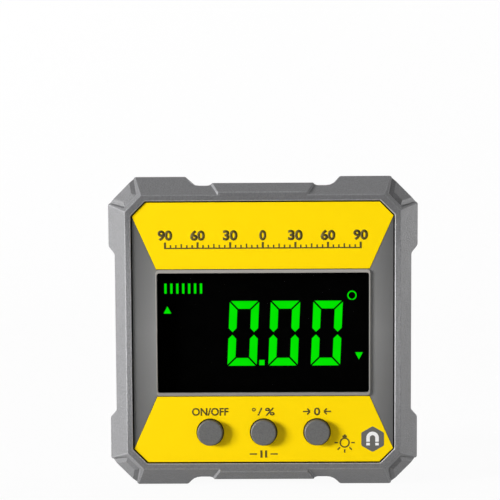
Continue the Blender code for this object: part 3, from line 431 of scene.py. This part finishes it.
yellow = yellow_film()
for node, name in (("upper_inlay", "upper_yellow"), ("lower_inlay", "lower_yellow")):
    inlay = merged_copy(node, name)
    soften(inlay, INLAY_EDGE)
    yellow.onto(inlay)
    place(inlay, "case", "yellow", node)

# Printing on the inlays. Dark ink for a plain scale of degrees above the window, marks by the buttons and a
# lamp mark, and a grey hexagon with a white magnet mark. The ink stands on the film.
INK_HEIGHT = 0.00003
INK_SINK = 0.00002
ink_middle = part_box("upper_inlay")[0].y - (INK_HEIGHT - INK_SINK) / 2


def dark_ink():
    """Dark olive ink that lets a little of the yellow through, uneven at a fine scale."""
    finish = Finish("dark_ink", Roughness=0.6, Specular_IOR_Level=0.2)
    patch = finish.noise(0.0002, detail=2.0)
    finish.use("Base Color", finish.mix(patch, (0.085, 0.062, 0.008, 1.0), (0.115, 0.088, 0.014, 1.0)))
    return finish


ink = dark_ink()


def settle(piece):
    """The piece's place, turn and scale go into its mesh."""
    only(piece)
    bpy.ops.object.transform_apply(location=True, rotation=True, scale=True)


def thicken(piece):
    """A flat mesh on the front becomes a closed one with the ink's thickness."""
    settle(piece)
    solidify = piece.modifiers.new("Ink", "SOLIDIFY")
    solidify.thickness = INK_HEIGHT + INK_SINK
    solidify.offset = 0.0
    bpy.ops.object.modifier_apply(modifier=solidify.name)
    return piece


def lettering(words, x, z, height, width, weight):
    """Words or numbers on the front, centred at x and z, and as tall and wide as given."""
    bpy.ops.object.select_all(action="DESELECT")
    bpy.ops.object.text_add(rotation=(pi / 2, 0, 0))
    text = bpy.context.object
    text.data.body = words
    text.data.offset = weight
    text.data.resolution_u = 4
    bpy.ops.object.convert(target="MESH")
    bpy.ops.object.origin_set(type="ORIGIN_GEOMETRY", center="BOUNDS")
    text = bpy.context.object
    text.location = (x, ink_middle, z)
    text.dimensions = (width, height, 0)
    return thicken(text)


def bar(x, z, width, height, turn=0.0):
    """A short bar of ink, turned by an angle in the plane of the front."""
    bpy.ops.object.select_all(action="DESELECT")
    bpy.ops.mesh.primitive_plane_add(size=1, location=(x, ink_middle, z), rotation=(pi / 2, turn, 0))
    bpy.context.object.scale = (width, height, 1)
    return thicken(bpy.context.object)


def round_ring(x, z, outer, width, upper_half=False):
    """A ring of ink, or its upper half: a filled circle, inset, opened, and cut across where it is a half."""
    bpy.ops.object.select_all(action="DESELECT")
    bpy.ops.mesh.primitive_circle_add(vertices=48, radius=outer, fill_type="NGON",
                                      location=(x, ink_middle, z), rotation=(pi / 2, 0, 0))
    bpy.ops.object.mode_set(mode="EDIT")
    bpy.ops.mesh.select_all(action="SELECT")
    bpy.ops.mesh.inset(thickness=width)
    bpy.ops.mesh.delete(type="FACE")
    if upper_half:
        bpy.ops.mesh.select_all(action="SELECT")
        bpy.ops.mesh.bisect(plane_co=(x, ink_middle, z), plane_no=(0, 0, -1), clear_outer=True)
    bpy.ops.object.mode_set(mode="OBJECT")
    return thicken(bpy.context.object)


def gathered(pieces):
    """Several meshes become one."""
    bpy.ops.object.select_all(action="DESELECT")
    for piece in pieces:
        piece.select_set(True)
    bpy.context.view_layer.objects.active = pieces[0]
    bpy.ops.object.join()
    return bpy.context.object


def repeated(piece, count, step):
    """The piece in a row, each copy this far to the right of the last."""
    only(piece)
    row = piece.modifiers.new("Row", "ARRAY")
    row.count = count
    row.use_relative_offset = False
    row.use_constant_offset = True
    row.constant_offset_displace = (step, 0, 0)
    bpy.ops.object.modifier_apply(modifier=row.name)
    return piece


def printed(piece, name, finish):
    """The finished shape becomes a named piece of print."""
    only(piece)
    bpy.ops.object.mode_set(mode="EDIT")
    bpy.ops.mesh.select_all(action="SELECT")
    bpy.ops.mesh.normals_make_consistent(inside=False)
    bpy.ops.object.mode_set(mode="OBJECT")
    piece.name = name
    piece.data.name = name
    finish.onto(piece)
    place(piece, "case", "holder")


SCALE_HALF = 0.0186
SCALE_FOOT = 0.04630
SCALE_LINE = 0.00025
SCALE_STEPS = 36
SCALE_STEP = 2 * SCALE_HALF / SCALE_STEPS
LONG_TICK = 0.0010
MIDDLE_TICK = 0.0007
SHORT_TICK = 0.0005
TICK_WIDTH = 0.00026
LONG_TICK_WIDTH = 1.5 * TICK_WIDTH
short_pair = [bar(-SCALE_HALF + step * SCALE_STEP, SCALE_FOOT + SHORT_TICK / 2, TICK_WIDTH, SHORT_TICK)
              for step in (1, 2)]
middle_tick = bar(-SCALE_HALF + 3 * SCALE_STEP, SCALE_FOOT + MIDDLE_TICK / 2, TICK_WIDTH, MIDDLE_TICK)
long_tick = bar(-SCALE_HALF, SCALE_FOOT + LONG_TICK / 2, LONG_TICK_WIDTH, LONG_TICK)
ticks = [repeated(gathered(short_pair), SCALE_STEPS // 3, 3 * SCALE_STEP),
         repeated(middle_tick, SCALE_STEPS // 6, 6 * SCALE_STEP),
         repeated(long_tick, SCALE_STEPS // 6 + 1, 6 * SCALE_STEP),
         bar(0.0, SCALE_FOOT - SCALE_LINE / 2, 2 * SCALE_HALF + LONG_TICK_WIDTH, SCALE_LINE)]
printed(gathered(ticks), "degree_scale", ink)
NUMBER_HEIGHT = 0.00200
NUMBER_WIDTH = 0.00132
NUMBER_WEIGHT = 0.045
NUMBER_SPACE = 0.1
NUMBER_GAP = 0.0003
numbers = []
for index, degrees in enumerate(("90", "60", "30", "0", "30", "60", "90")):
    x = -SCALE_HALF + index * 6 * SCALE_STEP
    z = SCALE_FOOT + LONG_TICK + NUMBER_GAP + NUMBER_HEIGHT / 2
    width = NUMBER_WIDTH * (len(degrees) + NUMBER_SPACE * (len(degrees) - 1))
    numbers.append(lettering(degrees, x, z, NUMBER_HEIGHT, width, NUMBER_WEIGHT))
printed(gathered(numbers), "degree_numbers", ink)

power_x, tilt_x, zero_x = (sum(corner.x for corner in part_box(f"{name}_button")) / 2
                           for name in ("power", "tilt", "zero"))
LABEL_Z = face_centre.z - 0.01515
LABEL_HEIGHT = 0.0015
LABEL_WEIGHT = 0.022
MARK_LINE = 0.00026
POWER_WIDTH = 0.0070
printed(lettering("ON/OFF", power_x, LABEL_Z, LABEL_HEIGHT, POWER_WIDTH, LABEL_WEIGHT), "power_label", ink)

DEGREE_SETBACK = 0.00185
DEGREE_RAISE = 0.00040
DEGREE_RADIUS = 0.00036
DEGREE_LINE = 0.00020
SLASH_SETBACK = 0.00070
SLASH_LENGTH = 0.00165
SLASH_TURN = radians(-64)
PER_CENT_SETBACK = 0.00120
PER_CENT_WIDTH = 0.00185
tilt_marks = [round_ring(tilt_x - DEGREE_SETBACK, LABEL_Z + DEGREE_RAISE, DEGREE_RADIUS, DEGREE_LINE),
              bar(tilt_x - SLASH_SETBACK, LABEL_Z, SLASH_LENGTH, MARK_LINE, SLASH_TURN),
              lettering("%", tilt_x + PER_CENT_SETBACK, LABEL_Z, LABEL_HEIGHT, PER_CENT_WIDTH, LABEL_WEIGHT)]
printed(gathered(tilt_marks), "tilt_label", ink)

ZERO_WIDTH = 0.0012
SHAFT_SETBACK = 0.00205
SHAFT_LENGTH = 0.0013
BARB_SETBACK = 0.00162
BARB_RAISE = 0.00030
BARB_LENGTH = 0.00075
BARB_TURN = radians(-45)
zero_marks = [lettering("0", zero_x, LABEL_Z, LABEL_HEIGHT, ZERO_WIDTH, LABEL_WEIGHT)]
for side in (-1, 1):
    zero_marks.append(bar(zero_x + side * SHAFT_SETBACK, LABEL_Z, SHAFT_LENGTH, MARK_LINE))
    for lean in (-1, 1):
        zero_marks.append(bar(zero_x + side * BARB_SETBACK, LABEL_Z + lean * BARB_RAISE, BARB_LENGTH,
                              MARK_LINE, side * lean * BARB_TURN))
printed(gathered(zero_marks), "zero_label", ink)

HOLD_Z = face_centre.z - 0.02335
PAUSE_SETBACK = 0.00045
PAUSE_WIDTH = 0.0004
PAUSE_HEIGHT = 0.0014
DASH_SETBACK = 0.0020
DASH_LENGTH = 0.0014
hold = [bar(tilt_x + side * PAUSE_SETBACK, HOLD_Z, PAUSE_WIDTH, PAUSE_HEIGHT) for side in (-1, 1)]
hold += [bar(tilt_x + side * DASH_SETBACK, HOLD_Z, DASH_LENGTH, MARK_LINE) for side in (-1, 1)]
printed(gathered(hold), "hold_label", ink)

LAMP_X = 0.01556
LAMP_Z = face_centre.z - 0.0212
LAMP_RADIUS = 0.00098
LAMP_LINE = 0.00026
RAY_MIDDLE = 0.00160
RAY_LENGTH = 0.00066
SOCKET_RAISE = 0.00020
SOCKET_WIDTH = 0.00085
SOCKET_HEIGHT = 0.00038
STUD_RAISE = 0.00050
STUD_WIDTH = 0.0004
STUD_HEIGHT = 0.00022
lamp = [round_ring(LAMP_X, LAMP_Z, LAMP_RADIUS, LAMP_LINE),
        bar(LAMP_X, LAMP_Z + LAMP_RADIUS + SOCKET_RAISE, SOCKET_WIDTH, SOCKET_HEIGHT),
        bar(LAMP_X, LAMP_Z + LAMP_RADIUS + STUD_RAISE, STUD_WIDTH, STUD_HEIGHT)]
for angle in (180, 225, 270, 315, 0):
    lamp.append(bar(LAMP_X + RAY_MIDDLE * cos(radians(angle)), LAMP_Z + RAY_MIDDLE * sin(radians(angle)),
                    RAY_LENGTH, LAMP_LINE, -radians(angle)))
printed(gathered(lamp), "lamp_mark", ink)


def badge_grey():
    """Printed grey of the hexagon."""
    finish = Finish("badge_grey", Roughness=0.5, Specular_IOR_Level=0.25)
    patch = finish.noise(0.00025, detail=2.0)
    finish.use("Base Color", finish.mix(patch, (0.105, 0.103, 0.095, 1.0), (0.14, 0.138, 0.128, 1.0)))
    return finish


def badge_white():
    """Printed white of the magnet mark."""
    finish = Finish("badge_white", Roughness=0.5, Specular_IOR_Level=0.25)
    patch = finish.noise(0.00025, detail=2.0)
    finish.use("Base Color", finish.mix(patch, (0.80, 0.80, 0.80, 1.0), (0.92, 0.92, 0.92, 1.0)))
    return finish


HEXAGON_X = 0.02092
HEXAGON_Z = face_centre.z - 0.02053
HEXAGON_RADIUS = 0.00250
HEXAGON_CORNER = 0.00022
bpy.ops.object.select_all(action="DESELECT")
bpy.ops.mesh.primitive_circle_add(vertices=6, radius=HEXAGON_RADIUS, fill_type="NGON",
                                  location=(HEXAGON_X, ink_middle, HEXAGON_Z), rotation=(pi / 2, 0, 0))
hexagon = bpy.context.object
bpy.ops.object.mode_set(mode="EDIT")
bpy.ops.mesh.select_all(action="SELECT")
bpy.ops.mesh.bevel(offset=HEXAGON_CORNER, segments=3, affect="VERTICES")
bpy.ops.object.mode_set(mode="OBJECT")
printed(thicken(hexagon), "magnet_badge", badge_grey())
MAGNET_OUTER = 0.00120
MAGNET_WIDTH = 0.00068
MAGNET_LEG = 0.00075
MAGNET_GAP = 0.00022
MAGNET_TIP = 0.00050
MAGNET_ARCH_Z = HEXAGON_Z + 0.00025
magnet = [round_ring(HEXAGON_X, MAGNET_ARCH_Z, MAGNET_OUTER, MAGNET_WIDTH, upper_half=True)]
for side in (-1, 1):
    leg_x = HEXAGON_X + side * (MAGNET_OUTER - MAGNET_WIDTH / 2)
    magnet.append(bar(leg_x, MAGNET_ARCH_Z - MAGNET_LEG / 2, MAGNET_WIDTH, MAGNET_LEG))
    tip_z = MAGNET_ARCH_Z - MAGNET_LEG - MAGNET_GAP - MAGNET_TIP / 2
    magnet.append(bar(leg_x, tip_z, MAGNET_WIDTH, MAGNET_TIP))
magnet_mark = gathered(magnet)
magnet_mark.location.y -= INK_HEIGHT
settle(magnet_mark)
printed(magnet_mark, "magnet_mark", badge_white())

# Display. A clear window that reflects little, a thin black film with the digits left clear in it, and a
# green light panel close behind. The digits look the same from the side, and the rest stays black.


def clear_window():
    """Clear plastic that hides nothing and reflects very little, with a few faint scuffs."""
    finish = Finish("clear_window", Base_Color=(0.0, 0.0, 0.0, 1.0), Alpha=0.05, Specular_IOR_Level=0.01)
    scuff = finish.noise(0.002, detail=4.0)
    finish.use("Roughness", 0.10 + scuff * 0.05)
    return finish


def mask_black():
    """Deep black screen with the slightest unevenness."""
    finish = Finish("mask_black", Specular_IOR_Level=0.0)
    patch = finish.noise(0.003, detail=2.0)
    finish.use("Base Color", finish.mix(patch, (0.0006, 0.0006, 0.0006, 1.0), (0.0014, 0.0014, 0.0014, 1.0)))
    finish.use("Roughness", 0.35 + patch * 0.1)
    return finish


def lit_green():
    """Green backlight with a faint cloud in it. Its border and sides are black, so nothing leaks round it."""
    half_width = 0.0197
    half_height = 0.0108
    fade = 0.0001
    finish = Finish("lit_green", Base_Color=(0.0, 0.02, 0.0, 1.0), Roughness=0.6, Specular_IOR_Level=0.0,
                    Emission_Strength=1.0)
    cloud = finish.noise(0.0035, detail=1.0)
    x, _, z = finish.axes()
    beside = ((half_width - abs(x)) / fade).clamped()
    inside = beside * ((half_height - abs(z - face_centre.z)) / fade).clamped()
    glow = finish.mix(cloud, (0.0, 0.78, 0.0, 1.0), (0.002, 0.90, 0.001, 1.0))
    finish.use("Emission Color", finish.mix(inside, (0.0, 0.0, 0.0, 1.0), glow))
    return finish


WINDOW_EDGE = 0.00008
FILM_THICKNESS = 0.00004
FILM_GAP = 0.00002
mask_front, mask_back = (corner.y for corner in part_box("display_mask"))
window = merged_copy("display_window", "clear_lens")
soften(window, WINDOW_EDGE)
clear_window().onto(window)
place(window, "case", "lens", "display_window")
mask = merged_copy("display_mask", "display_face")
bpy.ops.object.mode_set(mode="EDIT")
bpy.ops.mesh.select_all(action="SELECT")
bpy.ops.transform.resize(value=(1, FILM_THICKNESS / (mask_back - mask_front), 1),
                         center_override=(0, mask_front, 0))
bpy.ops.object.mode_set(mode="OBJECT")
bpy.ops.object.shade_flat()
mask_black().onto(mask)
place(mask, "case", "display_black", "display_mask")
light = merged_copy("light_panel", "green_light")
light.location.y = mask_front + FILM_THICKNESS + FILM_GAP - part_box("light_panel")[0].y
settle(light)
lit_green().onto(light)
place(light, "case", "display_green", "light_panel")

# Push buttons. Three moulded grey caps with a rounded rim, held by a flange behind the front panel.
# The top of each is flat and finely grained.


def button_grain():
    """Grey moulded plastic with the fine sparkle of a textured tool."""
    grey = (0.105, 0.105, 0.104, 1.0)
    finish = Finish("button_grain", Roughness=0.45, Specular_IOR_Level=0.5)
    grain = finish.ramp(finish.noise(0.00028, detail=2.0, roughness=0.7), (0.32, 0.0), (0.68, 1.0))
    finish.use("Base Color", finish.tinted(grey, 0.80 + grain * 0.4))
    finish.use("Roughness", 0.38 + grain * 0.2)
    finish.relief(grain, 0.00003, 0.6)
    return finish


BUTTON_SHADE_ANGLE = radians(35)
button_skin = button_grain()
for name in ("power", "tilt", "zero"):
    button = merged_copy(f"{name}_button", f"{name}_cap")
    shade(button, BUTTON_SHADE_ANGLE)
    button_skin.onto(button)
    place(button, f"{name}_key", "button", f"{name}_button")

# Rear cover and battery door. Dark mouldings with a sparked texture, each drawn down on its seal by plated
# screws. The cover closes the back of the housing, and the door closes the cells' tray in the cover.


def sparked_plastic():
    """Dark grey plastic from a spark-eroded tool."""
    grey = (0.075, 0.075, 0.078, 1.0)
    finish = Finish("sparked_plastic", Roughness=0.6, Specular_IOR_Level=0.4)
    grain = finish.noise(0.0003, detail=3.0, roughness=0.6)
    finish.use("Base Color", finish.tinted(grey, 0.85 + grain * 0.3))
    finish.use("Roughness", 0.5 + grain * 0.2)
    finish.relief(grain, 0.00004, 0.7)
    return finish


COVER_EDGE = 0.00015
rear_skin = sparked_plastic()
for node, name in (("rear_cover", "back_cover"), ("battery_door", "cell_door")):
    cover = merged_copy(node, name)
    soften(cover, COVER_EDGE)
    rear_skin.onto(cover)
    place(cover, "case", "cover", node)

# Screws. Plated steel pan heads with a cross recess. Four go through the rear cover into the housing, and
# two smaller ones through the battery door into the cover.


def plated_steel():
    """Bright plated steel with a slight haze."""
    finish = Finish("plated_steel", Metallic=1.0, Roughness=0.3)
    haze = finish.noise(0.0004, detail=3.0)
    finish.use("Base Color", finish.mix(haze, (0.55, 0.55, 0.56, 1.0), (0.68, 0.68, 0.69, 1.0)))
    finish.use("Roughness", 0.24 + haze * 0.14)
    return finish


SCREW_EDGE = 0.00006
steel = plated_steel()
screw_nodes = [f"rear_screw_{i}" for i in range(1, 5)] + ["door_screw_1", "door_screw_2"]
for node in screw_nodes:
    screw = merged_copy(node, node.replace("_screw", "_fixing"))
    soften(screw, SCREW_EDGE)
    steel.onto(screw)
    place(screw, "case", "steel", node)

# Base magnets. Nickel-plated discs, two in each lower foot, pressed in a hair below the face that the gauge
# holds by. They are the model's own solids, in a finish of their own.


def nickel():
    """Bright nickel with fine wear."""
    finish = Finish("nickel", Metallic=1.0, Roughness=0.2)
    wear = finish.noise(0.0008, detail=4.0)
    finish.use("Base Color", finish.mix(wear, (0.62, 0.60, 0.57, 1.0), (0.75, 0.74, 0.72, 1.0)))
    finish.use("Roughness", 0.16 + wear * 0.16)
    return finish


nickel_skin = nickel()
for index in range(1, 5):
    nickel_skin.onto(frame["nodes"][f"base_magnet_{index}"])

# Inside. The board, its parts, the seals, the cells and their contacts are hidden in use. They are the
# model's own solids, each in the finish of its own material.


def plain_finish(name, dark, light, roughness, size, metallic=0.0):
    """A finish that wavers between two near colours."""
    finish = Finish(name, Metallic=metallic)
    patch = finish.noise(size, detail=2.0)
    finish.use("Base Color", finish.mix(patch, (*dark, 1.0), (*light, 1.0)))
    finish.use("Roughness", roughness - 0.05 + patch * 0.1)
    return finish


inner_finishes = {
    plain_finish("seal_rubber", (0.012, 0.012, 0.012), (0.03, 0.03, 0.03), 0.8, 0.0005):
        ["face_seal", "rear_seal", "door_seal"],
    plain_finish("board_green", (0.015, 0.12, 0.045), (0.02, 0.17, 0.06), 0.45, 0.002): ["circuit_board"],
    plain_finish("chip_black", (0.012, 0.012, 0.012), (0.025, 0.025, 0.025), 0.5, 0.0004):
        ["controller_chip", "power_switch", "tilt_switch", "zero_switch"],
    plain_finish("holder_black", (0.06, 0.06, 0.06), (0.10, 0.10, 0.10), 0.6, 0.0005):
        ["display_holder", "power_plunger", "tilt_plunger", "zero_plunger"],
    plain_finish("cell_sleeve", (0.03, 0.08, 0.25), (0.06, 0.13, 0.36), 0.3, 0.004):
        ["battery_1", "battery_2"],
    plain_finish("lead_red", (0.42, 0.015, 0.015), (0.5, 0.03, 0.03), 0.4, 0.001): ["lead_positive"],
    plain_finish("lead_black", (0.012, 0.012, 0.012), (0.03, 0.03, 0.03), 0.4, 0.001): ["lead_negative"],
}
for finish, nodes in inner_finishes.items():
    for node in nodes:
        finish.onto(frame["nodes"][node])
metal_nodes = [f"board_screw_{i}" for i in range(1, 5)]
metal_nodes += ["tilt_sensor", "battery_spring_1", "battery_spring_2", "contact_bridge", "contact_negative",
                "contact_positive"]
for node in metal_nodes:
    steel.onto(frame["nodes"][node])

# Studio. A white floor that runs up into a backdrop, and three soft boxes: the key at the left, in front and
# a little above, and a weaker one a little behind each side. The camera and polished surfaces see white all
# round.
FLOOR_HALF = 2.0
BACKDROP_Y = 0.9
BACKDROP_HEIGHT = 2.0
BACKDROP_BEND = 0.4
bpy.ops.object.select_all(action="DESELECT")
bpy.ops.mesh.primitive_plane_add(size=2 * FLOOR_HALF, location=(0, BACKDROP_Y - FLOOR_HALF, 0))
floor = bpy.context.object
floor.name = "studio_floor"
bpy.ops.object.mode_set(mode="EDIT")
bpy.ops.mesh.select_all(action="DESELECT")
bpy.ops.object.mode_set(mode="OBJECT")
for edge in floor.data.edges:
    edge.select = all(floor.data.vertices[index].co.y > 0 for index in edge.vertices)
bpy.ops.object.mode_set(mode="EDIT")
bpy.ops.mesh.select_mode(type="EDGE")
bpy.ops.mesh.extrude_region_move(TRANSFORM_OT_translate={"value": (0, 0, BACKDROP_HEIGHT)})
bpy.ops.object.mode_set(mode="OBJECT")
bend = floor.modifiers.new("Sweep", "BEVEL")
bend.width = BACKDROP_BEND
bend.segments = 12
bend.limit_method = "ANGLE"
bpy.ops.object.modifier_apply(modifier=bend.name)
bpy.ops.object.shade_smooth()


def directly_seen(nodes):
    """1 for rays from the camera, off a polished surface or through a clear one, and 0 for diffuse light."""
    rays = ("Is Camera Ray", "Is Glossy Ray", "Is Transmission Ray")
    camera_ray, glossy_ray, transmission_ray = nodes.add_all("LightPath", rays)
    return (camera_ray + glossy_ray + transmission_ray).clamped()


def studio_white():
    """White paper that takes the object's shadow and otherwise looks white to the camera."""
    white_share = 0.95
    finish = Finish("studio_white", Base_Color=(0.85, 0.85, 0.85, 1.0), Roughness=0.9, Specular_IOR_Level=0.0)
    glow = finish.add("Emission", {"Color": (1.0, 1.0, 1.0, 1.0), "Strength": 1.0})
    shader = Amount(finish, finish.shader.outputs[0])
    blend = finish.add("MixShader", {0: directly_seen(finish) * white_share, 1: shader, 2: glow})
    finish.feed(finish.tree.nodes["Material Output"].inputs["Surface"], blend)
    return finish


studio_white().onto(floor)

DIFFUSE_STRENGTH = 0.18
world = bpy.data.worlds.new("studio_air")
bpy.context.scene.world = world
world.use_nodes = True
air = Nodes(world.node_tree)
strength = air.add("MapRange", {"Value": directly_seen(air), "To Min": DIFFUSE_STRENGTH, "To Max": 1.0})
background = air.tree.nodes["Background"]
air.feed(background.inputs["Strength"], strength)
air.feed(background.inputs["Color"], (1.0, 1.0, 1.0, 1.0))

LAMP_DISTANCE = 1.6


def soft_box(name, direction, size, irradiance):
    """An area lamp that looks at the object, and how strongly it lights a surface there that faces it."""
    towards = Vector(direction).normalized()
    bpy.ops.object.light_add(type="AREA", location=face_centre + towards * LAMP_DISTANCE)
    lamp = bpy.context.object
    lamp.name = name
    lamp.rotation_euler = towards.to_track_quat("Z", "Y").to_euler()
    lamp.data.shape = "SQUARE"
    lamp.data.size = size
    lamp.data.energy = irradiance * pi * pi * LAMP_DISTANCE * LAMP_DISTANCE


soft_box("key_lamp", (-0.88, -0.43, 0.17), size=0.45, irradiance=1.5)
soft_box("left_rim_lamp", (-0.97, 0.20, 0.05), size=0.7, irradiance=0.3)
soft_box("right_rim_lamp", (0.97, 0.20, 0.05), size=0.7, irradiance=0.58)

bpy.context.scene.view_settings.view_transform = "Standard"
